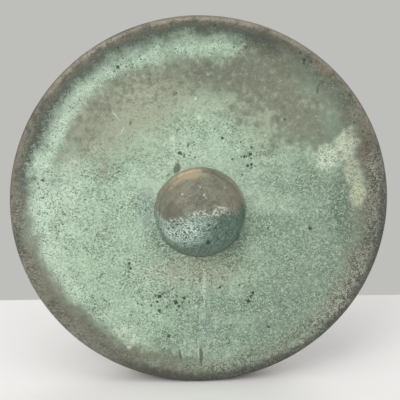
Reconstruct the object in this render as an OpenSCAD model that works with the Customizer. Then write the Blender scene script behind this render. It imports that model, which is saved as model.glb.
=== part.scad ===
// Bossed hanging gong: a hammered bronze face with a hollow cast boss, a leaning rim band lapped into the
// face's skirt, a back edge rolled round a wire, and two loose hanger rings linked round that edge.
// It stands upright as it hangs, face towards -Y and hollow back towards +Y. The origin is midway between
// the two places where the hanger rings bear on the rolled edge, so both rings swing about the X axis.

/* [Face] */
// Outside diameter across the rounded shoulder
gong_d = 500; // [440:10:560]
// Thickness of the hammered face and its skirt
face_t = 3.2; // [2.6:0.1:4]
// How far the shoulder falls back behind the middle of the face
face_crown = 5; // [3:0.5:8]
// Diameter of the flat seat round the boss
seat_d = 150; // [144:2:170]
// Outside radius of the rounded shoulder
shoulder_r = 8; // [6:0.5:10]
// Length of the turned-back skirt that laps over the rim band
skirt_len = 12; // [8:1:16]

/* [Rim] */
// Depth from the middle of the face to the centre of the rolled back edge
rim_depth = 62; // [54:1:76]
// Inward lean of the rim, in degrees
rim_taper = 10; // [6:1:12]
// Thickness of the rim band
band_t = 2.6; // [2:0.1:3]
// Diameter of the rolled back edge
edge_d = 6; // [5.6:0.2:7]
// Diameter of the wire inside the rolled back edge
wire_d = 3.4; // [2.8:0.2:3.8]
// Depth of the flat worn on the back of the rolled edge
edge_flat = 0.3; // [0.2:0.05:0.5]

/* [Boss] */
// Diameter of the boss at its straight neck
boss_d = 109; // [96:1:112]
// Height of the boss in front of the face
boss_h = 56; // [53:1:62]
// Thickness of the boss wall
boss_t = 3.2; // [2.6:0.1:4]
// Height of the straight neck before the dome turns in
neck_h = 14; // [10:1:16]
// Radius of the turn from neck to dome
turn_r = 36; // [28:1:36]
// Width of the foot lip that lies on the face
foot_w = 5; // [5:0.5:9]
// Thickness of the foot lip
foot_t = 1.6; // [1.2:0.1:2.4]
// Radius of the cove between foot lip and neck
cove_r = 4; // [2:0.5:4.5]
// Width of the backing ring behind the face
backing_w = 14; // [10:1:16]
// Thickness of the backing ring
backing_t = 5; // [4:0.5:7]

/* [Hanger rings] */
// Angle of each hanger ring from the top of the gong
hanger_angle = 20; // [15:1:25]
// Diameter of a hanger ring at the middle of its wire
ring_d = 34; // [32:1:40]
// Diameter of a hanger ring's wire
ring_wire_d = 4.5; // [4:0.5:5.5]
// Metal left between a hanger ring's hole and the rolled edge
edge_web = 2; // [1.5:0.1:2.5]
// Clear gap between a hanger ring's wire and the ends of its hole
ring_gap = 0.9; // [0.8:0.1:1.2]

/* [Hidden] */
$fn = 96;
// Straight steps in each rounded stretch of a turned profile
arc_steps = 14;

gong_r = gong_d / 2;
boss_r = boss_d / 2;
seat_r = seat_d / 2;
edge_r = edge_d / 2;
ring_r = ring_d / 2;
ring_wire_r = ring_wire_d / 2;

// A turned profile has radius across and depth behind the middle of the face upwards, so straight ahead of the
// face is an angle of -90. The crown bends away from the flat seat, and the shoulder touches it from inside.
shoulder_c_r = gong_r - shoulder_r;
crown_run = shoulder_c_r - seat_r;
crown_r = (pow(crown_run, 2) + pow(face_crown, 2)) / (2 * face_crown);
crown_c = [seat_r, crown_r];
crown_end = asin(crown_run / (crown_r - shoulder_r)) - 90;
shoulder_c = [shoulder_c_r, crown_r - sqrt(pow(crown_r - shoulder_r, 2) - pow(crown_run, 2))];

// Directions square to the rim and backwards along it
rim_out = [cos(rim_taper), sin(rim_taper)];
rim_back = [-sin(rim_taper), cos(rim_taper)];

// The band's outer face is the skirt's inner face, and its middle line ends at the rolled edge's centre.
lap_start = shoulder_c + rim_out * (shoulder_r - face_t);
band_mid_start = lap_start - rim_out * band_t / 2;
band_len = (rim_depth - band_mid_start[1]) / rim_back[1];
edge_c = band_mid_start + rim_back * band_len;

// Place of the gong's axis and of each hanger ring, from the hanging line
axis_drop = edge_c[0] * cos(hanger_angle);
hanger_x = edge_c[0] * sin(hanger_angle);

// The hole in the band starts past the edge's web, and a ring's wire passes through it clear of that end.
// It reaches as far as the wire does when the ring stands square to the band.
reach_near = edge_r + edge_web;
ring_near = reach_near + ring_gap + ring_wire_r;
// A hanger ring's centre hangs this far below the edge's centre.
ring_drop = ring_r - ring_near;
ring_slant = asin(ring_drop / ring_r);
reach_far = ring_r * cos(ring_slant) + ring_wire_r / cos(ring_slant) + band_t / 2 * tan(ring_slant) + ring_gap;
hole_r = (reach_far - reach_near) / 2;
hole_setback = (reach_far + reach_near) / 2;

// The boss's dome is a ball cap that touches the turn from its neck.
dome_rise = boss_h - neck_h;
turn_c = [boss_r - turn_r, -neck_h];
dome_r = (pow(dome_rise, 2) + pow(turn_c[0], 2) - pow(turn_r, 2)) / (2 * (dome_rise - turn_r));
dome_c = [0, dome_r - boss_h];
dome_end = asin(turn_c[0] / (dome_r - turn_r)) - 90;
cove_c = [boss_r + cove_r, -foot_t - cove_r];
// The spigot's end stands out of the backing ring by this much, peened over.
spigot_proud = 1;
backing_back = face_t + backing_t;
backing_chamfer = 1;

// Points of an arc in a profile, from one angle to another
function arc(centre, r, from, to) =
    [for (i = [0:arc_steps]) let (a = from + (to - from) * i / arc_steps) centre + r * [cos(a), sin(a)]];

// Turns a profile about the gong's axis and puts it in place
module turned() {
    translate([0, -rim_depth, -axis_drop])
        rotate([-90, 0, 0])
            rotate_extrude()
                children();
}

// Crowned disc, rounded shoulder and skirt as one sheet
module face_plate() {
    skirt = rim_back * skirt_len;
    front = concat(
        [[boss_r, 0]],
        arc(crown_c, crown_r, -90, crown_end),
        arc(shoulder_c, shoulder_r, crown_end, rim_taper),
        [shoulder_c + rim_out * shoulder_r + skirt]
    );
    back = concat(
        [lap_start + skirt],
        arc(shoulder_c, shoulder_r - face_t, rim_taper, crown_end),
        arc(crown_c, crown_r - face_t, crown_end, -90),
        [[boss_r, face_t]]
    );
    color([0.56, 0.68, 0.58])
        turned()
            polygon(concat(front, back));
}

// Ball cap, turn, neck, cove and foot lip outside, and a spigot that passes through the face
module boss_dome() {
    outside = concat(
        arc(dome_c, dome_r, -90, dome_end),
        arc(turn_c, turn_r, dome_end, 0),
        arc(cove_c, cove_r, 180, 90),
        [[boss_r + foot_w, -foot_t], [boss_r + foot_w, 0]]
    );
    spigot = [
        [boss_r, 0],
        [boss_r, backing_back + spigot_proud],
        [boss_r - boss_t, backing_back + spigot_proud]
    ];
    inside = concat(
        arc(turn_c, turn_r - boss_t, 0, dome_end),
        arc(dome_c, dome_r - boss_t, dome_end, -90)
    );
    color([0.47, 0.45, 0.38])
        turned()
            polygon(concat(outside, spigot, inside));
}

// Flat ring pressed over the spigot, against the back of the face
module boss_backing_ring() {
    outer_r = boss_r + backing_w;
    color([0.42, 0.36, 0.27])
        turned()
            polygon([
                [boss_r, face_t],
                [outer_r, face_t],
                [outer_r, backing_back - backing_chamfer],
                [outer_r - backing_chamfer, backing_back],
                [boss_r, backing_back]
            ]);
}

// Straight leaning wall that ends in a roll, with the roll's core open and a flat worn on its back
module band_profile() {
    difference() {
        union() {
            polygon([
                lap_start,
                lap_start + rim_back * band_len,
                lap_start - rim_out * band_t + rim_back * band_len,
                lap_start - rim_out * band_t
            ]);
            translate(edge_c)
                circle(r = edge_r);
        }
        translate(edge_c)
            circle(r = wire_d / 2);
        translate([edge_c[0] - edge_d, edge_c[1] + edge_r - edge_flat])
            square([2 * edge_d, edge_d]);
    }
}

// Cutter for a hanger ring's hole, square to the band's wall
module hanger_hole(angle) {
    hole_c = edge_c - rim_back * hole_setback;
    translate([0, -rim_depth, -axis_drop])
        rotate([0, angle, 0])
            translate([0, hole_c[1], hole_c[0]])
                rotate([-rim_taper, 0, 0])
                    cylinder(r = hole_r, h = 4 * band_t, center = true);
}

module rim_band() {
    color([0.30, 0.27, 0.20])
        difference() {
            turned()
                band_profile();
            for (angle = [-hanger_angle, hanger_angle])
                hanger_hole(angle);
        }
}

module rim_core_wire() {
    color([0.35, 0.33, 0.31])
        turned()
            translate(edge_c)
                circle(r = wire_d / 2);
}

// Loose ring linked round the rolled edge, hanging in a plane square to X
module hanger_ring(side) {
    color([0.36, 0.30, 0.22])
        translate([side * hanger_x, 0, -ring_drop])
            rotate([0, 90, 0])
                rotate_extrude()
                    translate([ring_r, 0])
                        circle(r = ring_wire_r);
}

module hanger_ring_left() {
    hanger_ring(-1);
}

module hanger_ring_right() {
    hanger_ring(1);
}

face_plate();
boss_dome();
boss_backing_ring();
rim_band();
rim_core_wire();
hanger_ring_left();
hanger_ring_right();
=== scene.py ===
"""Bossed hanging gong: turned and hammered bronze pieces dressed in verdigris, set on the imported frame."""

import math

import bmesh
import bpy
from mathutils import Matrix, Vector


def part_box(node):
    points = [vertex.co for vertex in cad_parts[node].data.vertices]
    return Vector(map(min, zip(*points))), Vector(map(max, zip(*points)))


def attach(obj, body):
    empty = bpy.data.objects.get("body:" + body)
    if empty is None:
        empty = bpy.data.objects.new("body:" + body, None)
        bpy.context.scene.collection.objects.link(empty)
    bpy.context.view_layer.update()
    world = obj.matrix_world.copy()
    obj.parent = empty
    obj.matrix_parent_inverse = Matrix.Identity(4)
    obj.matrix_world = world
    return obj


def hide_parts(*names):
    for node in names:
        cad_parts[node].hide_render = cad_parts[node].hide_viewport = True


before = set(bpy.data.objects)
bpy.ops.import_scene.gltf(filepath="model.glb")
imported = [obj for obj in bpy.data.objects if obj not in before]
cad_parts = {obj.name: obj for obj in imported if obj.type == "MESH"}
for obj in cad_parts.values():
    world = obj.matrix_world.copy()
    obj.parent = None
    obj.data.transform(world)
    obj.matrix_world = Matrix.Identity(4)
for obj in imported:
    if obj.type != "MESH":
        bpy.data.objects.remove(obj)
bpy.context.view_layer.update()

# Places and overall sizes from the frame, in metres
face_low, face_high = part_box("face_plate")
AXIS_Z = (face_low.z + face_high.z) / 2
FACE_Y = face_low.y
FLOOR_Z = face_low.z
GONG_R = (face_high.z - face_low.z) / 2
BOSS_H = FACE_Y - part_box("boss_dome")[0].y
BAND_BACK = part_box("rim_band")[1].y - FACE_Y

# Sizes of the pieces, in metres and degrees
MM = 0.001
FACE_T = 3.2 * MM
FACE_CROWN = 5 * MM
SEAT_R = 75 * MM
SHOULDER_R = 8 * MM
SKIRT = 12 * MM
RIM_LEAN = 10
BAND_T = 2.6 * MM
EDGE_R = 3 * MM
EDGE_FLAT = 0.3 * MM
BOSS_R = 54.5 * MM
BOSS_T = 3.2 * MM
NECK_H = 14 * MM
TURN_R = 36 * MM
FOOT_W = 5 * MM
FOOT_R = BOSS_R + FOOT_W
FOOT_T = 1.6 * MM
FOOT_ROUND = 0.5 * MM
COVE_R = 4 * MM
BACKING_W = 14 * MM
BACKING_T = 5 * MM
BACKING_CHAMFER = 1 * MM
SPIGOT_PROUD = 1 * MM
RING_WIRE_R = 2.25 * MM
JOINT_SWELL = 0.07
JOINT_HALF = 3 * MM
HANGER_ANGLE = 20
HANGER_HOLE_R = 6.9 * MM
HANGER_HOLE_SETBACK = 11.9 * MM

# Turned pieces: segments round the axis, then size and depth of the hammer's blows and of the waves they
# leave, in millimetres
TURNING_SIZES = {
    "gong_face": (540, 34, 0.3, 90, 0.7),
    "gong_boss": (360, 12, 0.1, 30, 0.5),
    "gong_rim": (540, 20, 0.25, 60, 0.4),
    "boss_backing": (180, 10, 0.1, 30, 0.2),
}
HAMMERING = ("Hammer Size", "Hammer Depth", "Wave Size", "Wave Depth")

# Hammer marks inside the face, and single grains of the verdigris
INSIDE_BLOW = 22 * MM
GRIT = 1.3 * MM

# Fineness of the meshes
LOOP_SEGMENTS = 96
WIRE_SEGMENTS = 24
HOLE_SEGMENTS = 48
MERGE = 0.005 * MM
SMOOTH_ANGLE = math.radians(35)


class Field:
    """A socket of a node tree. Python's operators on it add Math nodes, and node() adds any other node."""

    def __init__(self, tree, socket=None):
        self.tree = tree
        self.socket = socket

    def node(self, kind, sockets=None, out=0, **settings):
        made = self.tree.nodes.new(kind)
        for name, value in settings.items():
            setattr(made, name, value)
        for name, value in (sockets or {}).items():
            if isinstance(value, Field):
                self.tree.links.new(value.socket, made.inputs[name])
            else:
                made.inputs[name].default_value = value
        return Field(self.tree, made.outputs[out])

    def maths(self, operation, *values):
        return self.node("ShaderNodeMath", dict(enumerate(values)), operation=operation)

    def __neg__(self):
        return self.maths("SUBTRACT", 0, self)

    def __add__(self, other):
        return self.maths("ADD", self, other)

    def __sub__(self, other):
        return self.maths("SUBTRACT", self, other)

    def __rsub__(self, other):
        return self.maths("SUBTRACT", other, self)

    def __mul__(self, other):
        return self.maths("MULTIPLY", self, other)

    def __truediv__(self, other):
        return self.maths("DIVIDE", self, other)

    def __rtruediv__(self, other):
        return self.maths("DIVIDE", other, self)

    __radd__ = __add__
    __rmul__ = __mul__


def least(first, *others):
    """The smallest of a field and others or numbers, at each point."""
    for other in others:
        first = first.maths("MINIMUM", first, other)
    return first


def most(first, *others):
    """The largest of a field and others or numbers, at each point."""
    for other in others:
        first = first.maths("MAXIMUM", first, other)
    return first


def size_of(value):
    """A field without its sign."""
    return value.maths("ABSOLUTE", value)


def root(value):
    """Square root of a field."""
    return value.maths("SQRT", value)


def hump(value, half):
    """1 at 0, falling off to both sides like a bell of the given half width."""
    return value.maths("EXPONENT", -(value * value) / half**2)


def rise(value, low, high):
    """0 at low, 1 at high and a smooth step between. With low above high it falls instead."""
    sockets = {"Value": value, "From Min": low, "From Max": high}
    return value.node("ShaderNodeMapRange", sockets, interpolation_type="SMOOTHSTEP")


def blend(first, second, share):
    """Mixes two colours by a share from 0 to 1."""
    return share.node("ShaderNodeMix", {0: share, 6: first, 7: second}, out=2, data_type="RGBA")


def layered(colour, *layers):
    """Lays tints over a colour in turn, each by its share."""
    for tint, share in layers:
        colour = blend(colour, tint, share)
    return colour


def tone(red, green, blue):
    """A colour as it looks on a screen, 0 to 255, in the linear form that sockets take."""
    def linear(value):
        share = value / 255
        if share <= 0.04045:
            return share / 12.92
        return ((share + 0.055) / 1.055) ** 2.4
    return (linear(red), linear(green), linear(blue), 1)


def part_of(vector, axis):
    """One coordinate of a vector, or one channel of a colour."""
    return vector.node("ShaderNodeSeparateXYZ", {0: vector}, out=axis)


def stretched(place, scale):
    """A place with each of its coordinates multiplied."""
    return place.node("ShaderNodeVectorMath", {0: place, 1: scale}, operation="MULTIPLY")


def distance(place, point):
    """How far a place is from a point."""
    return place.node("ShaderNodeVectorMath", {0: place, 1: point}, out=1, operation="DISTANCE")


def cloud(place, size, detail=3, rough=0.55):
    """Soft noise about 0, with clouds of about the given size."""
    sockets = {"Vector": place, "Scale": 1 / size, "Detail": detail, "Roughness": rough}
    return place.node("ShaderNodeTexNoise", sockets) - 0.5


def cells(place, size, out=0):
    """Cells of about the given size: how far off a cell's middle is, or with out as 1 its own colour."""
    return place.node("ShaderNodeTexVoronoi", {"Vector": place, "Scale": 1 / size}, out)


def grain(place, size):
    """Speckle about 0, at every scale from the given size down, with single gritty grains in it."""
    grit = part_of(cells(place, GRIT, out=1), 0) - 0.5
    return 1.2 * cloud(place, size, 3, 0.95) + 0.48 * grit


# Profiles of the turned pieces: radius from the axis, depth behind the middle of the face, and how much of
# the hammering a point takes, below 0 on a piece's hidden side

def line(start, end, steps, share):
    """Points from start up to but not including end."""
    return [(*(a + (b - a) * i / steps for a, b in zip(start, end)), share) for i in range(steps)]


def arc(centre, radius, first, last, steps, share):
    """Points of an arc, both ends included, at angles in degrees from straight out."""
    angles = [math.radians(first + (last - first) * i / steps) for i in range(steps + 1)]
    return [(centre[0] + radius * math.cos(a), centre[1] + radius * math.sin(a), share) for a in angles]


def offset(point, direction, reach):
    """A point moved along a direction."""
    return (point[0] + direction[0] * reach, point[1] + direction[1] * reach)


# Share of a hidden side that takes next to no hammering
HIDDEN = -0.01
# Radii, centres, ends and directions that the profiles share
CROWN_RUN = GONG_R - SHOULDER_R - SEAT_R
CROWN_R = (CROWN_RUN**2 + FACE_CROWN**2) / (2 * FACE_CROWN)
CROWN_C = (SEAT_R, CROWN_R)
CROWN_END = math.degrees(math.asin(CROWN_RUN / (CROWN_R - SHOULDER_R))) - 90
SHOULDER_C = (GONG_R - SHOULDER_R, CROWN_R - math.sqrt((CROWN_R - SHOULDER_R) ** 2 - CROWN_RUN**2))
RIM_OUT = (math.cos(math.radians(RIM_LEAN)), math.sin(math.radians(RIM_LEAN)))
RIM_BACK = (-RIM_OUT[1], RIM_OUT[0])
LAP_START = offset(SHOULDER_C, RIM_OUT, SHOULDER_R - FACE_T)
EDGE_DEPTH = BAND_BACK - EDGE_R + EDGE_FLAT
BAND_MID = offset(LAP_START, RIM_OUT, -BAND_T / 2)
BAND_LEN = (EDGE_DEPTH - BAND_MID[1]) / RIM_BACK[1]
EDGE_C = offset(BAND_MID, RIM_BACK, BAND_LEN)


def face_profile():
    """Crowned front, shoulder and skirt, then back along the inside."""
    shoulder_end = offset(SHOULDER_C, RIM_OUT, SHOULDER_R)
    skirt_end = offset(shoulder_end, RIM_BACK, SKIRT)
    lap_end = offset(LAP_START, RIM_BACK, SKIRT)
    foot_edge = (FOOT_R, 0)
    return (
        line((BOSS_R, 0), foot_edge, 4, 0)
        + line(foot_edge, (SEAT_R, 0), 8, 0.6)
        + arc(CROWN_C, CROWN_R, -90, CROWN_END, 84, 1)
        + arc(SHOULDER_C, SHOULDER_R, CROWN_END, RIM_LEAN, 14, 0.4)[1:]
        + line(shoulder_end, skirt_end, 6, 0.4)[1:]
        + line(skirt_end, lap_end, 2, 0)
        + line(lap_end, LAP_START, 4, HIDDEN)
        + arc(SHOULDER_C, SHOULDER_R - FACE_T, RIM_LEAN, CROWN_END, 6, -0.2)
        + arc(CROWN_C, CROWN_R - FACE_T, CROWN_END, -90, 36, -0.8)[1:]
        + line((SEAT_R, FACE_T), (BOSS_R, FACE_T), 6, HIDDEN)[1:]
        + line((BOSS_R, FACE_T), (BOSS_R, 0), 2, HIDDEN)
        + [(BOSS_R, 0, 0)]
    )


def boss_profile():
    """Dome, turn, neck, cove and foot lip outside, the spigot, and the hollow inside."""
    dome_rise = BOSS_H - NECK_H
    turn_c = (BOSS_R - TURN_R, -NECK_H)
    dome_r = (dome_rise**2 + turn_c[0] ** 2 - TURN_R**2) / (2 * (dome_rise - TURN_R))
    dome_c = (0, dome_r - BOSS_H)
    dome_end = math.degrees(math.asin(turn_c[0] / (dome_r - TURN_R))) - 90
    cove_c = (BOSS_R + COVE_R, -FOOT_T - COVE_R)
    foot_c = (FOOT_R - FOOT_ROUND, FOOT_ROUND - FOOT_T)
    spigot_end = FACE_T + BACKING_T + SPIGOT_PROUD
    hollow_r = BOSS_R - BOSS_T
    return (
        arc(dome_c, dome_r, -90, dome_end, 46, 1)
        + arc(turn_c, TURN_R, dome_end, 0, 38, 1)[1:]
        + line((BOSS_R, -NECK_H), (BOSS_R, cove_c[1]), 8, 0.6)[1:]
        + arc(cove_c, COVE_R, 180, 90, 8, 0.3)
        + line((BOSS_R + COVE_R, -FOOT_T), (foot_c[0], -FOOT_T), 3, 0.2)[1:]
        + arc(foot_c, FOOT_ROUND, -90, 0, 3, 0)
        + line((FOOT_R, 0), (BOSS_R, 0), 2, HIDDEN)
        + line((BOSS_R, 0), (BOSS_R, spigot_end), 4, HIDDEN)
        + line((BOSS_R, spigot_end), (hollow_r, spigot_end), 3, HIDDEN)
        + line((hollow_r, spigot_end), (hollow_r, -NECK_H), 8, -0.2)
        + arc(turn_c, TURN_R - BOSS_T, 0, dome_end, 14, -0.5)
        + arc(dome_c, dome_r - BOSS_T, dome_end, -90, 14, -0.5)[1:]
    )


def band_profile():
    """Leaning wall with a rolled back edge that is worn flat behind."""
    half = BAND_T / 2
    join_angle = math.degrees(math.acos(half / EDGE_R))
    join_back = math.sqrt(EDGE_R**2 - half**2)
    outer_join = offset(offset(EDGE_C, RIM_OUT, half), RIM_BACK, -join_back)
    inner_join = offset(offset(EDGE_C, RIM_OUT, -half), RIM_BACK, -join_back)
    inner_start = offset(LAP_START, RIM_OUT, -BAND_T)
    back_flat = EDGE_C[1] + EDGE_R - EDGE_FLAT
    roll = arc(EDGE_C, EDGE_R, RIM_LEAN - join_angle, RIM_LEAN + 180 + join_angle, 28, 0.1)
    roll = [(radius, min(depth, back_flat), share) for radius, depth, share in roll]
    return (
        line(LAP_START, outer_join, 18, 0.7)
        + roll
        + line(inner_join, inner_start, 18, -0.7)[1:]
        + line(inner_start, LAP_START, 2, HIDDEN)
        + [(*LAP_START, 0)]
    )


def backing_profile():
    """Flat ring with a chamfered back corner."""
    outer = BOSS_R + BACKING_W
    back = FACE_T + BACKING_T
    return (
        line((BOSS_R, FACE_T), (outer, FACE_T), 5, HIDDEN)
        + line((outer, FACE_T), (outer, back - BACKING_CHAMFER), 4, 0.3)
        + line((outer, back - BACKING_CHAMFER), (outer - BACKING_CHAMFER, back), 2, 0.3)
        + line((outer - BACKING_CHAMFER, back), (BOSS_R, back), 6, 0.6)
        + line((BOSS_R, back), (BOSS_R, FACE_T), 2, HIDDEN)
        + [(BOSS_R, FACE_T, HIDDEN)]
    )


# Geometry nodes

def new_tree(name, inputs):
    """A geometry tree with the given inputs; returns it with its inputs as fields."""
    tree = bpy.data.node_groups.new(name, "GeometryNodeTree")
    for title, kind in inputs.items():
        tree.interface.new_socket(title, in_out="INPUT", socket_type="NodeSocket" + kind)
    tree.interface.new_socket("Piece", in_out="OUTPUT", socket_type="NodeSocketGeometry")
    sockets = tree.nodes.new("NodeGroupInput").outputs
    return tree, {title: Field(tree, sockets[title]) for title in inputs}


def end_tree(skin, finish):
    """Realizes a tree's piece, gives it its finish and puts it out."""
    skin = skin.node("GeometryNodeRealizeInstances", {"Geometry": skin})
    skin = skin.node("GeometryNodeSetMaterial", {"Geometry": skin, "Material": finish})
    result = skin.tree.nodes.new("NodeGroupOutput")
    skin.tree.links.new(skin.socket, result.inputs["Piece"])


def turned_skin(start, given):
    """Turns a profile about the gong's axis. Each point keeps its share of the hammering as "worked"."""
    count = start.node("GeometryNodeAttributeDomainSize", {0: given["Profile"]}, component="MESH")
    sockets = {"Size X": 1, "Size Y": 1, "Vertices X": given["Segments"] + 1, "Vertices Y": count}
    grid = start.node("GeometryNodeMeshGrid", sockets)
    spot = start.node("GeometryNodeInputPosition")
    angle = (part_of(spot, 0) + 0.5) * math.tau
    index = start.maths("ROUND", (part_of(spot, 1) + 0.5) * (count - 1))
    sockets = {"Geometry": given["Profile"], "Value": spot, "Index": index}
    point = start.node("GeometryNodeSampleIndex", sockets, data_type="FLOAT_VECTOR", domain="POINT")
    radius = part_of(point, 0)
    sockets = {
        "X": radius * start.maths("SINE", angle),
        "Y": given["Face Y"] + part_of(point, 1),
        "Z": given["Axis Z"] + radius * start.maths("COSINE", angle),
    }
    turned = start.node("ShaderNodeCombineXYZ", sockets)
    sockets = {"Geometry": grid, "Name": "worked", "Value": part_of(point, 2)}
    skin = start.node("GeometryNodeStoreNamedAttribute", sockets, data_type="FLOAT", domain="POINT")
    skin = start.node("GeometryNodeSetPosition", {"Geometry": skin, "Position": turned})
    return start.node("GeometryNodeMergeByDistance", {"Geometry": skin, "Distance": MERGE})


def hammered(skin, given):
    """Sinks round blows and broad waves into a skin, always inwards."""
    spot = skin.node("GeometryNodeInputPosition")
    from_blow = cells(spot, given["Hammer Size"])
    dent = most(1 - 2.2 * from_blow * from_blow, 0) * given["Hammer Depth"]
    sockets = {"Vector": spot, "Scale": 1 / given["Wave Size"], "Detail": 2}
    wave = skin.node("ShaderNodeTexNoise", sockets) * given["Wave Depth"]
    share = skin.node("GeometryNodeInputNamedAttribute", {"Name": "worked"}, data_type="FLOAT")
    sockets = {0: skin.node("GeometryNodeInputNormal"), "Scale": -((dent + wave) * size_of(share))}
    inwards = skin.node("ShaderNodeVectorMath", sockets, operation="SCALE")
    return skin.node("GeometryNodeSetPosition", {"Geometry": skin, "Offset": inwards})


def turning_tree():
    """Turns and hammers a profile, whose third coordinate is how much of the hammering a point takes."""
    inputs = {"Profile": "Geometry", "Segments": "Int", "Face Y": "Float", "Axis Z": "Float"}
    inputs.update((title, "Float") for title in HAMMERING)
    tree, given = new_tree("turned_and_hammered", inputs | {"Finish": "Material"})
    end_tree(hammered(turned_skin(Field(tree), given), given), given["Finish"])
    return tree


def ring_tree():
    """Bends a wire into a ring about an X axis, with a swollen brazed joint at its lowest point."""
    inputs = {"Ring Radius": "Float", "Wire Radius": "Float", "Joint Swell": "Float", "Joint Half": "Float"}
    tree, given = new_tree("bent_wire_ring", inputs | {"Centre": "Vector", "Finish": "Material"})
    start = Field(tree)

    def circle(segments, radius):
        return start.node("GeometryNodeCurvePrimitiveCircle", {"Resolution": segments, "Radius": radius})

    joint = start.node("ShaderNodeCombineXYZ", {"X": given["Ring Radius"]})
    from_joint = distance(start.node("GeometryNodeInputPosition"), joint)
    sockets = {
        "Curve": circle(LOOP_SEGMENTS, given["Ring Radius"]),
        "Profile Curve": circle(WIRE_SEGMENTS, given["Wire Radius"]),
        "Scale": 1 + given["Joint Swell"] * rise(from_joint, given["Joint Half"], 0),
    }
    skin = start.node("GeometryNodeCurveToMesh", sockets)
    sockets = {"Geometry": skin, "Translation": given["Centre"], "Rotation": (0, math.pi / 2, 0)}
    end_tree(start.node("GeometryNodeTransform", sockets), given["Finish"])
    return tree


TURNING = turning_tree()
RING_BENDING = ring_tree()


def new_object(name, data):
    """An object in the scene."""
    made = bpy.data.objects.new(name, data)
    bpy.context.scene.collection.objects.link(made)
    return made


def work_piece(name, tree, values, mesh=None):
    """A working object with a geometry tree on it, its named inputs set."""
    work = new_object(name + "_work", mesh or bpy.data.meshes.new(name + "_work"))
    modifier = work.modifiers.new("shape", "NODES")
    modifier.node_group = tree
    for socket in tree.interface.items_tree:
        if socket.name in values:
            modifier[socket.identifier] = values[socket.name]
    return work


def turned_piece(name, profile, finish):
    """A working object that turns and hammers a profile."""
    mesh = bpy.data.meshes.new(name + "_profile")
    mesh.from_pydata(profile, [(i, i + 1) for i in range(len(profile) - 1)], [])
    segments, *sizes = TURNING_SIZES[name]
    values = {"Segments": segments, "Face Y": FACE_Y, "Axis Z": AXIS_Z, "Finish": finish}
    values.update(zip(HAMMERING, (size * MM for size in sizes)))
    return work_piece(name, TURNING, values, mesh)


def hanger_hole_cutter():
    """A drill for each hanger hole, square to the leaning band."""
    drill = bmesh.new()
    hole_c = offset(EDGE_C, RIM_BACK, -HANGER_HOLE_SETBACK)
    for angle in (-HANGER_ANGLE, HANGER_ANGLE):
        place = (
            Matrix.Translation((0, FACE_Y, AXIS_Z))
            @ Matrix.Rotation(math.radians(angle), 4, "Y")
            @ Matrix.Translation((0, hole_c[1], hole_c[0]))
            @ Matrix.Rotation(math.radians(-RIM_LEAN), 4, "X")
        )
        sizes = {"radius1": HANGER_HOLE_R, "radius2": HANGER_HOLE_R, "depth": 4 * BAND_T}
        bmesh.ops.create_cone(drill, cap_ends=True, segments=HOLE_SEGMENTS, matrix=place, **sizes)
    mesh = bpy.data.meshes.new("hanger_drill")
    drill.to_mesh(mesh)
    drill.free()
    return new_object("hanger_drill", mesh)


def finished(work, name, finish, body, node):
    """Makes a working object a plain mesh with outward faces, and a piece that stands for its CAD node."""
    graph = bpy.context.evaluated_depsgraph_get()
    mesh = bpy.data.meshes.new_from_object(work.evaluated_get(graph))
    bpy.data.objects.remove(work)
    shape = bmesh.new()
    shape.from_mesh(mesh)
    bmesh.ops.remove_doubles(shape, verts=shape.verts, dist=MERGE)
    bmesh.ops.dissolve_degenerate(shape, edges=shape.edges, dist=MERGE)
    bmesh.ops.recalc_face_normals(shape, faces=shape.faces)
    shape.to_mesh(mesh)
    shape.free()
    mesh.shade_smooth()
    mesh.set_sharp_from_angle(angle=SMOOTH_ANGLE)
    mesh.materials.clear()
    mesh.materials.append(finish)
    piece = new_object(name, mesh)
    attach(piece, body)
    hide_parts(node)


# Finishes: their tones

MINT = tone(176, 202, 175)
BRIGHT_MINT = tone(204, 226, 204)
DEEP_GREEN = tone(135, 157, 136)
GREY_GREEN = tone(152, 166, 148)
SHADE_GREEN = tone(108, 126, 108)
SPECK_GREEN = tone(88, 112, 92)
SPECK_PALE = tone(214, 230, 210)
WARM_GREY = tone(168, 173, 151)
DARK_WARM = tone(129, 132, 114)
STAIN = tone(174, 172, 152)
BLUE_FILM = tone(140, 160, 158)
PALE_CRUST = tone(213, 230, 206)
CREAM = tone(206, 215, 189)
DULL_CREAM = tone(180, 183, 159)
YELLOW_CREAM = tone(194, 199, 165)
CRUST_PIT = tone(128, 132, 108)
DARK_BROWN = tone(90, 88, 76)
OLIVE_BROWN = tone(90, 88, 71)
BORDER_BROWN = tone(129, 124, 108)
BORDER_PALE = tone(180, 187, 167)
EDGE_DARK = tone(70, 71, 63)
CHAR = tone(70, 75, 68)
PIT = tone(52, 66, 56)
SMUDGE_AND_SHADE = tone(92, 94, 80)
CHIP = tone(226, 232, 216)
SCRATCH = tone(176, 166, 140)
PALE_BROWN = tone(170, 164, 147)
INSIDE_GREEN = tone(122, 143, 122)
INSIDE_BROWN = tone(116, 104, 84)
INSIDE_OLIVE = tone(136, 132, 108)
PEENED = tone(164, 154, 126)
TAUPE = tone(137, 137, 120)
DARK_TAUPE = tone(100, 100, 86)
RED_BROWN = tone(140, 118, 98)
RUST = tone(112, 102, 82)
HIGHLIGHT_TAN = tone(202, 182, 154)
TEAL = tone(178, 202, 186)
SHADE_TEAL = tone(93, 118, 104)
HOLE = tone(58, 82, 73)
PALE_TEAL = tone(212, 226, 214)
BRIGHT_BRONZE = tone(196, 166, 110)
DRAWN_WIRE = tone(150, 132, 96)

# Finishes: their single marks. Places are across and up from the gong's axis, and sizes are radii or half
# lengths and half widths, all in millimetres. Turns are in degrees.

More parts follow.
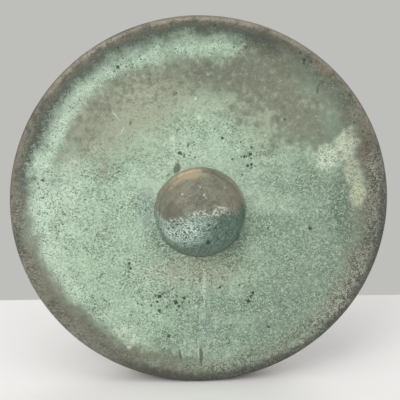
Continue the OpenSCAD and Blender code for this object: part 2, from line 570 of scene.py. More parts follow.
FACE_PITS = [
    (64, 76, 2.2), (57, 73, 1.6), (66, 62, 1.8), (61, 61, 1.8), (146, -25, 2), (-95, -71, 1.8),
    (-93, -78, 1.7), (-55, -118, 2.3), (-58, -126, 1.7), (-56, -139, 1.8), (-33, -127, 2.6),
    (-29, -133, 1.8), (-22, -121, 2.2), (26, -106, 1.8), (71, -115, 2.2), (66, -127, 2.4),
    (94, -166, 1.7), (-43, -178, 1.6), (-103, 187, 1.9), (-204, 43, 1.5), (-26, 78, 2),
    (53, -103, 1.3), (28, 97, 1.5), (131, 195, 1.5),
]
FACE_CHIPS = [
    (-36, 97, 2.8), (-160, 68, 1.8), (-98, -194, 2.2), (-93, -184, 2.6), (-2, 124, 2), (-6, 148, 1.6),
    (83, 101, 1.2),
]
FACE_SMUDGES = [
    ((-30.5, 58.5), (8, 3.8), 76), ((-41, 50), (4.5, 1.4), 32), ((-21, 76), (3, 1.2), 80),
    ((-28, -205), (11, 1.9), 100), ((1, -209), (18, 2.1), 91), ((-16, 88), (4, 1.4), 80),
    ((149, 158), (7, 1.3), 84), ((153, 166), (5, 1.1), 32), ((-89, 117), (3.4, 1.5), 75),
]
FACE_SCRATCHES = [
    ((-16, 148), (8, 1.8), 28), ((-81, 118), (8, 1.2), 20), ((-60, 122), (9, 1), 20),
    ((-118, 112), (6, 1), -35), ((-118, 88), (6, 1), 15),
]
FACE_HAIRS = [
    ((-106, 125), (6, 1), -53), ((-34, 84), (7, 1), 90), ((-99, 108), (5, 0.8), 62),
    ((-66, 138), (5, 0.8), -20),
]
PIT_CROWDS = [
    ((58, 76), (16, 18)), ((-42, -130), (36, 18)), ((68, -122), (14, 18)), ((-14, 84), (16, 10)),
    ((136, 193), (14, 10)),
]
# Green left showing through the crescent
GREEN_PATCHES = [((144, 162), (15, 26), 40), ((172, 112), (14, 22), 20), ((126, 196), (22, 10), -35)]
# Tints of the border, each with its share and how torn its edge is
BORDER_TINTS = [
    (RED_BROWN, 0.45, 2, (154, 182), (13, 4), -42),
    (PALE_BROWN, 0.2, 2, (206, 118), (22, 11), -60),
    (DARK_BROWN, 0.15, 2, (-172, -145), (70, 17), -50),
    (RUST, 0.4, 2.4, (217, 82), (11, 15), 0),
]
BOSS_PITS = [
    (8, -27, 3), (-20, -20, 1), (20, -22, 1.2), (-36, -8, 1.5), (12, -14, 1), (-8, -18, 0.9),
    (17, -6, 1.1), (24, 0, 1), (-30, -3, 1.3), (30, -16, 1),
]
BOSS_CHIPS = [(3, 34, 1.1), (5, 31, 0.9), (-2, 43, 0.8), (30, 40, 0.8), (-24, 34, 0.8), (21, 37, 0.7)]
BOSS_SCRATCHES = [((24, 18.4), (7, 1.3), -14), ((15.5, 14.5), (4.5, 1.2), 62), ((19, 10), (2, 1), 0)]

# Radii of the gong and the boss's foot, and depth of the rolled edge, in millimetres
RIM_MM = GONG_R / MM
FOOT_MM = FOOT_R / MM
ROLL_MM = EDGE_DEPTH / MM


def new_finish(name):
    """A node material with nothing on its shader yet; returns both."""
    finish = bpy.data.materials.new(name)
    finish.use_nodes = True
    return finish, finish.node_tree.nodes["Principled BSDF"]


def object_place(finish):
    """A finish's Object coordinates as a field."""
    return Field(finish.node_tree).node("ShaderNodeTexCoord", out=3)


def dress(shader, colour, rough, metal, relief, height):
    """Links a finish's fields to its shader, with the relief field as bump of the given height."""
    bump = relief.node("ShaderNodeBump", {"Strength": 1, "Distance": height, "Height": relief})
    links = {"Base Color": colour, "Roughness": rough, "Metallic": metal, "Normal": bump}
    for name, field in links.items():
        field.tree.links.new(field.socket, shader.inputs[name])


def behind_face(place):
    """Millimetres behind the middle of the face."""
    return (part_of(place, 1) - FACE_Y) / MM


def hidden_side(place):
    """1 on the side of a turned piece that the profile marks as hidden."""
    share = place.node("ShaderNodeAttribute", out=2, attribute_name="worked")
    return rise(share, 0, 0.8 * HIDDEN)


def ellipse(across, up, centre, half, turn, torn, soft):
    """1 inside an ellipse, with a soft edge that the torn field breaks up."""
    cos, sin = math.cos(math.radians(turn)), math.sin(math.radians(turn))
    right, above = across - centre[0], up - centre[1]
    along = (right * cos + above * sin) / half[0]
    over = (above * cos - right * sin) / half[1]
    return rise(root(along * along + over * over) + torn, 1 + soft, 1 - soft)


def scattered(place, size, share):
    """Millimetres to the nearest of some scattered spots, far off where the share leaves none."""
    chance = part_of(cells(place, size, out=1), 0)
    return cells(place, size) * (size / MM) + 100 * rise(chance + share, 1.01, 0.99)


class Ground:
    """Fields that a finish's layers share: places in millimetres, and noises about 0 of the given sizes.

    Places are across, up and out from the gong's axis, and behind the middle of its face.
    """

    def __init__(self, place, patchy, ragged, speck):
        self.place = place
        self.x = part_of(place, 0) / MM
        self.up = (part_of(place, 2) - AXIS_Z) / MM
        self.out = root(self.x * self.x + self.up * self.up)
        self.behind = behind_face(place)
        self.front = 1 - hidden_side(place)
        self.patchy = cloud(place, patchy, 4, 0.6)
        self.ragged = cloud(place, ragged, 4, 0.6)
        self.speck = grain(place, speck)

    def blotch(self, centre, half, turn=0, torn=0, soft=0.3):
        """1 inside an ellipse across and up the gong."""
        return ellipse(self.x, self.up, centre, half, turn, torn, soft)

    def blotches(self, marks, tint, torn, soft, share):
        """Layers of one tint, with a blotch for each mark."""
        return [(tint, self.blotch(*mark, torn, soft) * share) for mark in marks]

    def nearest(self, marks):
        """Distance to the nearest of some round marks, in their radii."""
        spot = self.x.node("ShaderNodeCombineXYZ", {"X": self.x, "Y": self.up})
        return least(*(distance(spot, (across, up, 0)) / radius for across, up, radius in marks))

    def dull_inside(self):
        """Colour of a hidden side: dull brown bronze with a thin green bloom."""
        uneven = self.patchy + self.ragged * 0.5
        colour = blend(INSIDE_BROWN, INSIDE_OLIVE, rise(uneven + self.speck, -0.25, 0.25))
        return blend(colour, INSIDE_GREEN, rise(uneven + self.speck * 0.8, 0, 0.4) * 0.6)


class FaceGround(Ground):
    """The face's ground, with more noises, and its zones, which are 1 inside and 0 outside."""

    def __init__(self, place):
        super().__init__(place, 34 * MM, 12 * MM, 3.4 * MM)
        self.drift = cloud(place, 110 * MM, 2)
        self.mottle = cloud(place, 7.5 * MM, 3, 0.6)
        self.bloom = self.mottle + 0.6 * self.patchy
        self.drip = cloud(stretched(place, (1, 1, 0.06)), 4.2 * MM, 2)
        self.upper = rise(self.up - 0.15 * self.x + self.drift * 80, -10, 100)
        self.lower_right = rise(0.3 * self.x - self.up + self.drift * 80, 100, 200) * rise(self.x, -40, 40)
        self.halo = rise(self.out + self.ragged * 30, 118, 62) * rise(self.up, -10, 30)
        self.past = self.past_border()
        self.border = self.border_zone()
        self.grown = self.blotch((156, 163), (56, 15), -44, self.ragged * 2 + self.patchy, 0.6)
        self.gritty = self.gritty_zone()
        self.crescent = self.crescent_zone()

    def past_border(self):
        """Millimetres out past the torn inner edge of the border."""
        x, up = self.x, self.up
        edge = least(most(215 + (12 * up - 9 * x) / self.out, 212), 226 - 2 * rise(up, 50, 110))
        edge = edge + 4 * rise(x, 150, 210) * rise(up, 40, 100) + 3 * rise(0.5 * x - 0.85 * up, 160, 230)
        edge = edge - 3 * self.blotch((-195, 110), (40, 60), soft=0.6)
        edge = edge - 4 * self.blotch((-74, -204), (36, 30), soft=0.6)
        torn = self.patchy * 32 + self.ragged * 30 + self.mottle * 16
        return self.out - edge + torn * (1 + 0.5 * rise(-up, 120, 200) - 0.45 * rise(up, 60, 150))

    def border_zone(self):
        """The border, grainy along its inner edge and thinned by green at the lower right."""
        border = rise((self.past + self.speck * 26) * (1 - 0.25 * rise(self.up, 60, 150)), -10, 11)
        thin = rise(-self.up, 90, 170) * rise(self.x, -40, 60) * rise(self.out, 241, 231)
        thin = thin * rise(self.patchy + self.ragged + self.mottle, -0.12, 0.12)
        return border * (1 - 0.55 * thin)

    def gritty_zone(self):
        """Where the border is gritty: at both sides, the lower right and where green grows over it."""
        right = rise(self.x, 150, 215) * rise(self.up, 130, 70)
        left = self.blotch((-228, -30), (22, 70), soft=0.6)
        return most(self.lower_right, right, left * 0.6, self.grown * 0.8)

    def crescent_zone(self):
        """The crescent above the boss, from a line that humps over it out to the arc inside the border."""
        x = self.x
        hem = 84 + 0.11 * x - 16 * rise(x, 30, 110) + 56 * hump(x, 74)
        above = rise(self.up - hem + self.patchy * 70 + self.ragged * 44 + self.speck * 60, -38, 36)
        reach = 198 + 7 * rise(x, -186, -150) - 6 * rise(x, -120, -60)
        reach = reach + 52 * rise(x + self.patchy * 90, 20, 90)
        return above * rise(reach - self.out + self.ragged * 36 + self.speck * 36, -7, 7)


def mint_layer(face):
    """Mint verdigris, deeper to the lower right and a little at the top, and palest above the boss."""
    x, up = face.x, face.up
    deep = rise(0.9 * x - 0.45 * up + face.drift * 130 + face.patchy * 170, -60, 230)
    deep = deep + 0.35 * rise(up, 150, 225) + 0.95 * rise(face.bloom, -0.02, 0.22)
    deep = deep + 0.52 * rise(x - 0.4 * up, 90, 240)
    deep = deep + 0.22 * face.blotch((10, -150), (50, 60), soft=0.5)
    deep = deep + 0.3 * face.blotch((98, -22), (26, 20), soft=0.5)
    deep = deep - 0.3 * face.blotch((-124, -138), (66, 60), soft=0.6)
    return layered(
        MINT,
        (DEEP_GREEN, deep),
        (SHADE_GREEN, 0.24 * rise(x - 0.6 * up, 150, 240)),
        (GREY_GREEN, rise(face.patchy + 0.6 * face.ragged, 0.04, 0.26) * 0.5),
        (SPECK_PALE, rise(face.bloom, -0.02, -0.24) * 0.42),
        (BRIGHT_MINT, face.halo * 0.45),
    )


def bright_arc(face):
    """Share of the brightest verdigris: an arc inside the border, up the left and over the top."""
    sweep = rise(face.out + face.ragged * 18, 182, 206) * rise(0.8 * face.up - 0.6 * face.x, -50, 50)
    sweep = sweep * rise(face.x + face.patchy * 120, 84, 10) * rise(-face.x, 0, 170)
    left = face.blotch((-192, 50), (40, 90), 0, face.patchy * 1.6, 0.6)
    top = face.blotch((-26, 210), (64, 13), 0, face.patchy * 1.2, 0.5)
    return most(sweep, left, top * 0.4)


def crescent_layer(face):
    """Warm grey, darker outwards and to the right, with green left showing through it at the right."""
    x, patchy, ragged = face.x, face.patchy, face.ragged
    outwards = face.out + 0.4 * most(x, -60) + patchy * 140 + face.mottle * 150
    clouded = ragged + face.mottle * 0.8
    return layered(
        WARM_GREY,
        (DARK_WARM, rise(outwards, 134, 192)),
        (DARK_WARM, face.blotch((-146, 116), (52, 24), 40, patchy * 2, 0.5) * 0.5),
        (WARM_GREY, rise(x, 20, 90) * rise(face.bloom, -0.02, -0.24) * 0.6),
        (SMUDGE_AND_SHADE, face.blotch((14, 186), (84, 30), 0, patchy * 2, 0.6) * 0.42),
        (SMUDGE_AND_SHADE, rise(clouded, 0.04, 0.28) * 0.46),
        (STAIN, rise(clouded, -0.02, -0.26) * 0.55),
        *face.blotches(GREEN_PATCHES, DEEP_GREEN, ragged * 2.2 + face.speck, 0.7, 0.6),
    )


def stained(face, colour):
    """Adds dark green and brown by the crust, and a stain, bluish films, drips and painted shade about the
    boss.
    """
    ragged = face.ragged
    shaded = face.blotch((192, 10), (20, 58), 0, ragged * 2.2, 0.4) * 0.85
    shaded = most(shaded, face.blotch((190, -8), (16, 22), 0, ragged * 2, 0.5))
    film = face.blotch((-70, 6), (9, 28), 0, ragged * 2.4, 0.6)
    film = most(film, face.blotch((14, -160), (12, 15), 0, ragged * 2.4, 0.6) * 0.7)
    # Painted shade: darker green in a ring beside and below the boss
    painted_shade_round_boss = rise(face.out + ragged * 20, 90, 62) * rise(-face.up, 0, 45) * rise(size_of(face.x), 10, 50)
    wet = face.blotch((3, -150), (20, 76), 0, face.patchy * 2, 0.4)
    return layered(
        colour,
        (SHADE_GREEN, shaded),
        (DARK_WARM, face.blotch((208, -14), (13, 24), 0, ragged * 2.4, 0.5) * 0.9),
        (STAIN, face.blotch((-3, -81), (60, 25), 0, ragged * 2.2, 0.45) * 0.6),
        (BLUE_FILM, film * 0.6),
        (SHADE_GREEN, painted_shade_round_boss * 0.6),
        (SPECK_PALE, wet * rise(face.drip, 0.04, 0.18) * 0.6),
        (SPECK_GREEN, wet * rise(face.drip, -0.06, -0.2) * 0.6),
    )


def crust_layer(face):
    """Cream crust at the right: a pale lobe, a warmer fold, and a dull run down to a yellow tail.

    A thin patch of it lies at the lower left. Returns its colour and its share.
    """
    ragged, speck = face.ragged, face.speck
    lobe = face.blotch((165, 70), (19, 16), 0, ragged * 2 + speck * 0.8)
    fold = face.blotch((189, 84), (15, 20), -20, ragged * 1.8 + speck * 0.8)
    run = face.blotch((201, 50), (24, 12), -72, ragged * 1.6 + speck * 0.8)
    tail = face.blotch((208, 21), (11.5, 17), 0, ragged * 0.8 + speck * 0.6, 0.2)
    patch = face.blotch((-100, -176), (12, 20), 35, ragged * 2.6, 0.35)
    rough = speck + face.mottle * 0.5
    colour = layered(
        PALE_CRUST,
        (DULL_CREAM, run),
        (CREAM, fold),
        (YELLOW_CREAM, tail),
        (CRUST_PIT, rise(rough, 0, -0.24) * 0.55),
        (CHIP, rise(rough, 0.04, 0.26) * 0.6),
    )
    return colour, most(lobe, fold, run, tail, patch * 0.7)


def bare_border(face):
    """Brown metal, flecked green at the left, below and at the right, and charred above."""
    x, up, out, ragged, speck = face.x, face.up, face.out, face.ragged, face.speck
    uneven = face.patchy * 1.3 + ragged + face.mottle * 0.5 + speck * (0.25 + 0.75 * face.gritty)
    left = rise(-x, 150, 225) * rise(0.6 * x - up + ragged * 60, -40, -130) * rise(out, 243, 237)
    below = rise(-up - 0.2 * x, 60, 200)
    right = rise(x, 180, 230) * rise(up, 20, -20)
    flecked = most(left * 0.7, below * 0.42, right * 0.4)
    charred = face.upper * rise(out + ragged * 10 + speck * 3, 244, 234) * (1 - 0.75 * rise(x, 70, 160))
    warmed = rise(face.past, 8, 20) * rise(-x, 20, 120)
    shoulder = out + ragged * 10
    dark_line = face.upper * rise(shoulder, 234, 239) * rise(shoulder, 245, 242)
    return layered(
        DARK_BROWN,
        (BORDER_BROWN, rise(uneven, -0.32, 0.14)),
        (GREY_GREEN, flecked * rise(speck + ragged, -0.2, 0.2)),
        (blend(CHAR, OLIVE_BROWN, warmed), charred),
        (EDGE_DARK, dark_line * (0.4 - 0.3 * rise(x, 100, 190) - 0.2 * warmed)),
    )


def border_layer(face):
    """The bare border with tints, grit, green that seeps in below, and painted shade along its edge at the
    lower right.
    """
    x, up, ragged, speck = face.x, face.up, face.ragged, face.speck
    mottled = face.lower_right * rise(speck + ragged * 0.8 + face.mottle, -0.12, 0.14)
    fleck = speck + face.mottle * 0.7 + ragged * 0.4
    hatched = face.blotch((228, 40), (14, 34), 0, ragged * 2, 0.6)
    hatched = most(hatched * 0.6, face.lower_right * 0.5, face.grown * 0.22)
    seep = face.blotch((-40, -224), (36, 11), -10, ragged * 2, 0.6)
    seep = most(seep, face.blotch((112, -196), (62, 9), 30, ragged * 2, 0.6))
    # Painted shade: the outer edge darkens at the lower right, where the shoulder turns away from the light
    shade_edge_reach = face.out + face.patchy * 18 + ragged * 26 + speck * 14 + 5 * rise(x, 140, 90)
    shadowed = rise(0.8 * x - up, 60, 190) * rise(shade_edge_reach, 235, 245)
    tints = []
    for tint, share, torn, *spot in BORDER_TINTS:
        tints.append((tint, face.blotch(*spot, ragged * torn, 0.5) * share))
    return layered(
        bare_border(face),
        (SHADE_GREEN, face.grown * 0.55),
        *tints,
        (BORDER_PALE, mottled * 0.8),
        (CHAR, rise(fleck, 0, -0.24) * (0.14 + 0.46 * face.gritty)),
        (CHAR, rise(face.patchy + ragged * 0.8, 0, 0.3) * rise(-up, 60, 160) * 0.35),
        (BORDER_PALE, rise(fleck, 0.02, 0.22) * hatched),
        (GREY_GREEN, seep * (0.15 + 0.48 * rise(face.drip, -0.08, 0.12))),
        (EDGE_DARK, shadowed * 0.9),
    )


def speckled(face, colour, crust):
    """Adds dark and pale specks, fewer where the face is bare, and a painted contact shadow round the boss's
    foot, below and to the left.
    """
    border, crescent, ragged = face.border, face.crescent, face.ragged
    busy = (1 - 0.58 * crescent) * (1 - border * (0.7 - 0.5 * face.gritty)) * (1 - 0.4 * face.halo)
    busy = busy * (1 - 0.25 * crust) * (1 - 0.14 * rise(face.x, -20, 80))
    busy = busy * (0.7 + 0.6 * rise(face.patchy - ragged, -0.15, 0.15))
    dark = rise(face.speck + 0.3 * face.mottle, 0.03, -0.27)
    pale = rise(face.speck, -0.02, 0.28) * (1 - 0.6 * border) * (1 - 0.5 * crescent)
    # Painted shade: a dark contact line on the face just outside the boss's foot
    gap = 0.8 + 2.6 * rise(-face.up, 20, 56)
    foot_contact_shadow = rise(face.out - gap + ragged * 4, FOOT_MM + 0.8, FOOT_MM - 0.4)
    return layered(
        colour,
        (blend(SPECK_GREEN, CHAR, border), dark * busy * 0.72),
        (SPECK_PALE, pale * busy * 0.56),
        (SMUDGE_AND_SHADE, foot_contact_shadow * rise(0.6 * face.x + face.up, 40, -10) * 0.7),
    )


def face_pits(face):
    """Share of pits: the larger ones, and small ones that lie here and there and crowd in places."""
    large = rise(face.nearest(FACE_PITS) + face.ragged * 1.2 + face.speck, 1.5, 0.8)
    crowds = [face.blotch(centre, half, soft=0.6) for centre, half in PIT_CROWDS]
    small = scattered(face.place, 6 * MM, 0.03 + 0.8 * most(*crowds))
    return most(large, rise(small + face.speck * 1.5, 1.8, 0.9) * 0.85)


def marked(face, colour, pit):
    """Adds pits, pale chips, smudges, scratches and hair scratches."""
    ragged, speck = face.ragged, face.speck
    chip = rise(face.nearest(FACE_CHIPS) + face.mottle * 2 + speck * 3, 1.3, 0.6)
    return layered(
        colour,
        (PIT, pit * 0.9),
        (CHIP, chip * 0.7),
        *face.blotches(FACE_SMUDGES, SMUDGE_AND_SHADE, ragged * 2.6, 0.4, 0.8),
        *face.blotches(FACE_SCRATCHES, SCRATCH, ragged * 1.5, 0.5, 0.7),
        *face.blotches(FACE_HAIRS, SPECK_PALE, ragged * 2 + speck, 0.5, 0.5),
    )


def shoulder_rub_and_highlight(face):
    """Share of metal rubbed bare along the shoulder, with a painted highlight where it faces the light: over
    the upper half and most at the left.
    """
    shoulder = rise(face.out + face.ragged * 8 + face.speck * 2, RIM_MM - 7.2, RIM_MM - 3.6)
    above = rise(0.3 * face.x + 0.95 * face.up + face.ragged * 160, 40, 180)
    patches = 0.22 + 0.36 * rise(face.ragged + 0.4 * face.speck, -0.1, 0.2)
    return shoulder * face.front * above * patches * (1 + 0.5 * rise(-face.x, 70, 170))


def shouldered(face, colour, rubbed):
    """Adds the rubbed shoulder with its painted highlight, and painted shade on the outer edge and the skirt
    behind it.
    """
    # Painted shade: darker outermost edge and skirt, where the face turns back out of the light
    edge = rise(face.out + face.ragged * 4, RIM_MM - 2.2, RIM_MM - 0.6) * (1 - rubbed)
    edge_and_skirt_shade = most(rise(face.behind, 9, 13), edge)
    return layered(colour, (PALE_BROWN, rubbed), (EDGE_DARK, edge_and_skirt_shade * 0.75))


def face_inside(face, from_blow):
    """Dull bronze, green towards the rim, with close hammer marks that are paler in their middles."""
    towards_rim = rise(face.out + face.patchy * 90 + face.ragged * 40, 186, 240)
    return layered(
        face.dull_inside(),
        (INSIDE_GREEN, towards_rim * 0.75),
        (PEENED, rise(from_blow, 0.55, 0.1) * 0.12),
        (DARK_BROWN, rise(from_blow, 0.38, 0.7) * 0.3),
    )


def verdigris_face():
    """The face: mint verdigris, a warm grey crescent above the boss, and a bare brown border."""
    finish, shader = new_finish("verdigris_face")
    face = FaceGround(object_place(finish))
    crust_colour, crust = crust_layer(face)
    pit = face_pits(face)
    # Bare metal rubbed along the shoulder, with a painted highlight over its upper half
    rubbed = shoulder_rub_and_highlight(face)
    from_blow = cells(stretched(face.place, (1, 0, 1)), INSIDE_BLOW) + 0.2 * face.ragged

    colour = layered(
        mint_layer(face),
        (BRIGHT_MINT, bright_arc(face) * 0.75),
        (crescent_layer(face), face.crescent * 0.96),
    )
    colour = layered(
        stained(face, colour),
        (crust_colour, crust * (0.8 + 0.2 * rise(face.mottle, -0.1, 0.15))),
        (border_layer(face), face.border * (1 - 0.8 * crust)),
    )
    colour = marked(face, speckled(face, colour, crust), pit)
    colour = blend(face_inside(face, from_blow), shouldered(face, colour, rubbed), face.front)

    bare = most(face.border, face.crescent * 0.5, rubbed)
    rough = 0.88 - 0.22 * bare - 0.12 * rubbed + 0.3 * face.speck
    metal = 0.1 * bare + 0.3 * rubbed
    relief = face.speck * 0.8 + face.ragged * 0.5 + face.front * (crust * 0.3 - pit * 0.9)
    relief = relief + (1 - face.front) * 4 * from_blow * from_blow
    dress(shader, colour, rough, metal, relief, 0.7 * MM)
    return finish


def rubbed_layer(boss, tan_highlight):
    """Rubbed taupe bronze, darker and redder at the left, with a painted tan highlight round the upper left
    and painted light towards the right.
    """
    uneven = boss.patchy + boss.ragged * 0.7 + boss.speck * 0.8
    torn = boss.ragged * 2
    return layered(
        DARK_TAUPE,
        (TAUPE, rise(uneven, -0.26, 0.18)),
        (RED_BROWN, boss.blotch((-38, 34), (9, 16), -35, torn, 0.5) * 0.25),
        (DARK_TAUPE, boss.blotch((-36, 8), (12, 14), 0, torn, 0.6) * 0.7),
        # Painted highlight round the upper left, and painted light lifting the right side
        (HIGHLIGHT_TAN, most(tan_highlight * 0.85, rise(boss.x, 14, 50) * 0.2)),
    )


def teal_layer(boss):
    """Blue-green crust, palest left of the middle, dark below and to the right, and full of holes."""
    pale = boss.blotch((-29, -7), (32, 21), 12, boss.patchy * 1.6, 0.65)
    rough = boss.speck + boss.ragged * 0.3
    return layered(
        SHADE_TEAL,
        (TEAL, pale),
        (HOLE, rise(rough, 0.06, -0.14) * (0.36 + 0.5 * pale)),
        (PALE_TEAL, rise(rough, -0.04, 0.18) * (0.18 + 0.52 * pale)),
    )


def footed(boss, colour):
    """Adds the foot lip, with a painted shade line round all but its upper right."""
    foot = rise(boss.out + boss.ragged * 3, FOOT_MM - 2.4, FOOT_MM - 0.9)
    lip = blend(TAUPE, DEEP_GREEN, rise(boss.speck + boss.ragged + boss.patchy, -0.4, 0))
    # Painted shade: the lip's outer edge darkens except at the upper right, towards the light
    dark_line = rise(boss.out, FOOT_MM - 0.6, FOOT_MM - 0.1) * rise(0.6 * boss.x + boss.up, 40, -10)
    return layered(colour, (lip, foot * 0.8), (SMUDGE_AND_SHADE, dark_line * 0.4))


def rubbed_boss():
    """The boss: rubbed taupe bronze above a torn line, speckled blue-green crust below it."""
    finish, shader = new_finish("rubbed_boss")
    boss = Ground(object_place(finish), 24 * MM, 8 * MM, 2.6 * MM)
    x, ragged, speck = boss.x, boss.ragged, boss.speck

    # The torn line drops to the left, and pale flakes fray it
    above = boss.up - (11 - 14 * rise(x, 0, -42))
    rubbed = rise(above + ragged * 30 + speck * 30, -4, 5)
    frayed = rise(above, -5, 0) * rise(above, 9, 3) * rise(speck + ragged * 0.5, 0.06, 0.2)
    frayed = frayed * rise(x, 42, 24)
    # Painted highlight: tan on the upper part of the turn, where it faces the light
    tan_highlight = ellipse(x, -boss.behind, (-14, 13), (24, 13), 0, ragged * 2, 0.6) * rise(boss.up, 0, 20)
    colour = layered(teal_layer(boss), (rubbed_layer(boss, tan_highlight), rubbed), (CHIP, frayed * 0.7))

    pit = rise(boss.nearest(BOSS_PITS) + ragged * 1.2 + speck, 1.3, 0.7)
    pit = most(pit, rise(scattered(boss.place, 5 * MM, 0.4) + speck, 1.2, 0.6) * (1 - rubbed))
    chip = rise(boss.nearest(BOSS_CHIPS) + ragged * 2.2 + speck * 3, 1.3, 0.6)
    torn = ragged * 3 + speck * 2
    chip = most(chip, *(boss.blotch(*mark, torn, 0.4) for mark in BOSS_SCRATCHES))
    colour = layered(footed(boss, colour), (PIT, pit * 0.9), (CHIP, chip * 0.6))
    colour = blend(boss.dull_inside(), colour, boss.front)

    rough = 0.82 - 0.22 * rubbed - 0.08 * tan_highlight + 0.3 * speck
    metal = 0.12 * rubbed + 0.1 * tan_highlight
    relief = speck * (1 - 0.7 * rubbed) + ragged * 0.4 - pit - rubbed * 0.25
    dress(shader, colour, rough, metal, relief, 0.6 * MM)
    return finish


def aged_rim():
    """The rim: brown bronze with green in its corners, rubbed bright along the rolled edge."""
    finish, shader = new_finish("aged_rim")
    place = object_place(finish)
    behind = behind_face(place)
    patchy = cloud(place, 30 * MM, 4, 0.6)
    ragged = cloud(place, 11 * MM, 5, 0.62)
    speck = cloud(place, 4 * MM, 4, 0.62)
    corner = rise(behind + patchy * 60 + ragged * 30, 34, 16)
    green = most(rise(patchy + ragged * 0.7, 0.05, 0.25) * 0.7, corner * 0.8)
    worn = rise(behind + ragged * 6, ROLL_MM + 1.2, ROLL_MM + 2.6)
    colour = layered(
        DARK_BROWN,
        (BORDER_BROWN, rise(patchy + speck * 0.7, -0.2, 0.2)),
        (blend(INSIDE_GREEN, GREY_GREEN, rise(speck + ragged, -0.15, 0.2)), green),
        (PALE_BROWN, worn * 0.8),
    )
    rough = 0.62 + 0.2 * green - 0.2 * worn + 0.3 * speck
    metal = 0.3 - 0.28 * green + 0.35 * worn
    dress(shader, colour, rough, metal, speck * 0.5 + ragged * 0.5, 0.6 * MM)
    return finish


def dark_bronze(name, bearing=None):
    """Dark bronze with thin green, rubbed bright near the point where a hanger ring bears."""
    finish, shader = new_finish(name)
    place = object_place(finish)
    patchy = cloud(place, 12 * MM, 4, 0.6)
    speck = cloud(place, 2.2 * MM, 4, 0.6)
    green = rise(patchy + speck * 0.6, 0.08, 0.24)
    colour = blend(DARK_BROWN, BORDER_BROWN, rise(patchy + speck * 0.5, -0.2, 0.22))
    colour = blend(colour, INSIDE_GREEN, green * 0.6)
    rough = 0.56 + 0.15 * green + 0.3 * speck
    metal = 0.5 - 0.4 * green
    if bearing:
        worn = rise(distance(place, bearing) / MM + patchy * 8, 11, 7)
        colour = blend(colour, BRIGHT_BRONZE, worn * 0.75)
        rough = rough - 0.2 * worn
        metal = metal + 0.4 * worn
    dress(shader, colour, rough, metal, speck, 0.3 * MM)
    return finish


def drawn_wire():
    """Plain drawn wire, bright with fine brown specks."""
    finish, shader = new_finish("drawn_wire")
    speck = cloud(object_place(finish), 2 * MM)
    colour = blend(DARK_BROWN, DRAWN_WIRE, rise(speck, -0.25, 0.15))
    dress(shader, colour, 0.45 + 0.3 * speck, 0.8 + 0.2 * speck, speck, 0.1 * MM)
    return finish


# Pieces

def make_turned(name, profile, finish, node):
    """A turned piece that is fixed to the gong."""
    finished(turned_piece(name, profile, finish), name, finish, "gong", node)


def make_rim():
    """The rim is turned and then drilled for its hangers."""
    finish = aged_rim()
    work = turned_piece("gong_rim", band_profile(), finish)
    cutter = hanger_hole_cutter()
    drill = work.modifiers.new("hanger_holes", "BOOLEAN")
    drill.operation = "DIFFERENCE"
    drill.solver = "EXACT"
    drill.object = cutter
    finished(work, "gong_rim", finish, "gong", "rim_band")
    bpy.data.objects.remove(cutter)


def make_hanger_ring(side):
    """A hanger ring; the frame's origin lies midway between the points where the two bear."""
    node = "hanger_ring_" + side
    low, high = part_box(node)
    centre = (low + high) / 2
    bearing = (centre.x, 0, 0)
    finish = dark_bronze("ring_bronze_" + side, bearing)
    values = {"Wire Radius": RING_WIRE_R, "Joint Swell": JOINT_SWELL, "Joint Half": JOINT_HALF}
    values |= {"Ring Radius": (high.y - low.y) / 2 - RING_WIRE_R, "Centre": centre, "Finish": finish}
    work = work_piece(node, RING_BENDING, values)
    finished(work, "hanger_loop_" + side, finish, "ring_" + side, node)


def dress_core_wire():
    """The core wire is its CAD node with a finish of its own."""
    core_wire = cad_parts["rim_core_wire"]
    core_wire.data.materials.clear()
    core_wire.data.materials.append(drawn_wire())


make_turned("gong_face", face_profile(), verdigris_face(), "face_plate")
make_turned("gong_boss", boss_profile(), rubbed_boss(), "boss_dome")
make_rim()
backing_finish = dark_bronze("backing_bronze")
make_turned("boss_backing", backing_profile(), backing_finish, "boss_backing_ring")
make_hanger_ring("left")
make_hanger_ring("right")
dress_core_wire()


# Stage: a pale floor that ends behind the gong, even light, three soft lamps and the camera

FLOOR_BACK = 0.26
FLOOR_FRONT = -4
FLOOR_SIDE = 4
FLOOR_TONE = tone(244, 242, 240)
BACKGROUND = tone(190, 191, 187)
EVEN_LIGHT = 0.52
# Name, place, width and power of each lamp
LAMPS = [
    ("key", (-0.95, -1.7, 1.0), 1.2, 18),
    ("top", (-0.2, -0.75, 1.5), 1.4, 9),
    ("back", (0.7, 1.6, 1.0), 1.6, 12),
]
FACE_MIDDLE = Vector((0, FACE_Y, AXIS_Z))
CAMERA_ELEVATION = math.radians(15.34)
CAMERA_AZIMUTH = math.radians(-2.14)
CAMERA_DISTANCE = 0.9719
CAMERA_LENS = 66.73
SENSOR_WIDTH = 36
AIM_SHIFT = Vector((-0.0006, 0, 0.0158))


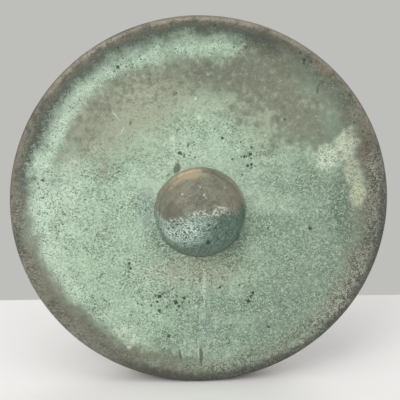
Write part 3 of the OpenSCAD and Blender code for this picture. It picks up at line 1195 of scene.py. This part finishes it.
def make_floor():
    finish, shader = new_finish("pale_floor")
    shader.inputs["Base Color"].default_value = FLOOR_TONE
    shader.inputs["Roughness"].default_value = 0.9
    mesh = bpy.data.meshes.new("floor")
    left, right = -FLOOR_SIDE, FLOOR_SIDE
    corners = [(left, FLOOR_FRONT), (right, FLOOR_FRONT), (right, FLOOR_BACK), (left, FLOOR_BACK)]
    mesh.from_pydata([(x, y, FLOOR_Z) for x, y in corners], [], [(0, 1, 2, 3)])
    mesh.materials.append(finish)
    floor = new_object("floor", mesh)


def make_world():
    """Even light from all round, and a grey background where it is seen directly, reflected or through."""
    world = bpy.data.worlds.new("studio")
    bpy.context.scene.world = world
    world.use_nodes = True
    tree = world.node_tree
    tree.nodes.clear()
    start = Field(tree)
    camera, glossy, through = (start.node("ShaderNodeLightPath", out=i) for i in (0, 3, 6))
    light = start.node("ShaderNodeBackground", {"Color": (1, 1, 1, 1), "Strength": EVEN_LIGHT})
    shown = start.node("ShaderNodeBackground", {"Color": BACKGROUND, "Strength": 1})
    both = start.node("ShaderNodeMixShader", {0: most(camera, glossy, through), 1: light, 2: shown})
    output = tree.nodes.new("ShaderNodeOutputWorld")
    tree.links.new(both.socket, output.inputs["Surface"])


def aimed(name, data, place, target):
    """A lamp or camera at a place in the scene, aimed at a target."""
    holder = new_object(name, data)
    holder.location = place
    holder.rotation_mode = "QUATERNION"
    holder.rotation_quaternion = (target - holder.location).to_track_quat("-Z", "Y")
    return holder


def add_lamp(name, place, width, power):
    """A round soft lamp that aims at the middle of the face."""
    lamp = bpy.data.lights.new(name, "AREA")
    lamp.shape = "DISK"
    lamp.size = width
    lamp.energy = power
    aimed(name, lamp, place, FACE_MIDDLE)


def add_camera():
    """The camera stands a little above the face and looks slightly over its middle."""
    back = Vector((
        math.sin(CAMERA_AZIMUTH) * math.cos(CAMERA_ELEVATION),
        -math.cos(CAMERA_AZIMUTH) * math.cos(CAMERA_ELEVATION),
        math.sin(CAMERA_ELEVATION),
    ))
    data = bpy.data.cameras.new("camera")
    data.sensor_width = SENSOR_WIDTH
    data.lens = CAMERA_LENS
    place = FACE_MIDDLE + back * CAMERA_DISTANCE
    bpy.context.scene.camera = aimed("camera", data, place, FACE_MIDDLE + AIM_SHIFT)


make_floor()
make_world()
for lamp_sizes in LAMPS:
    add_lamp(*lamp_sizes)
add_camera()
bpy.context.scene.view_settings.view_transform = "Standard"
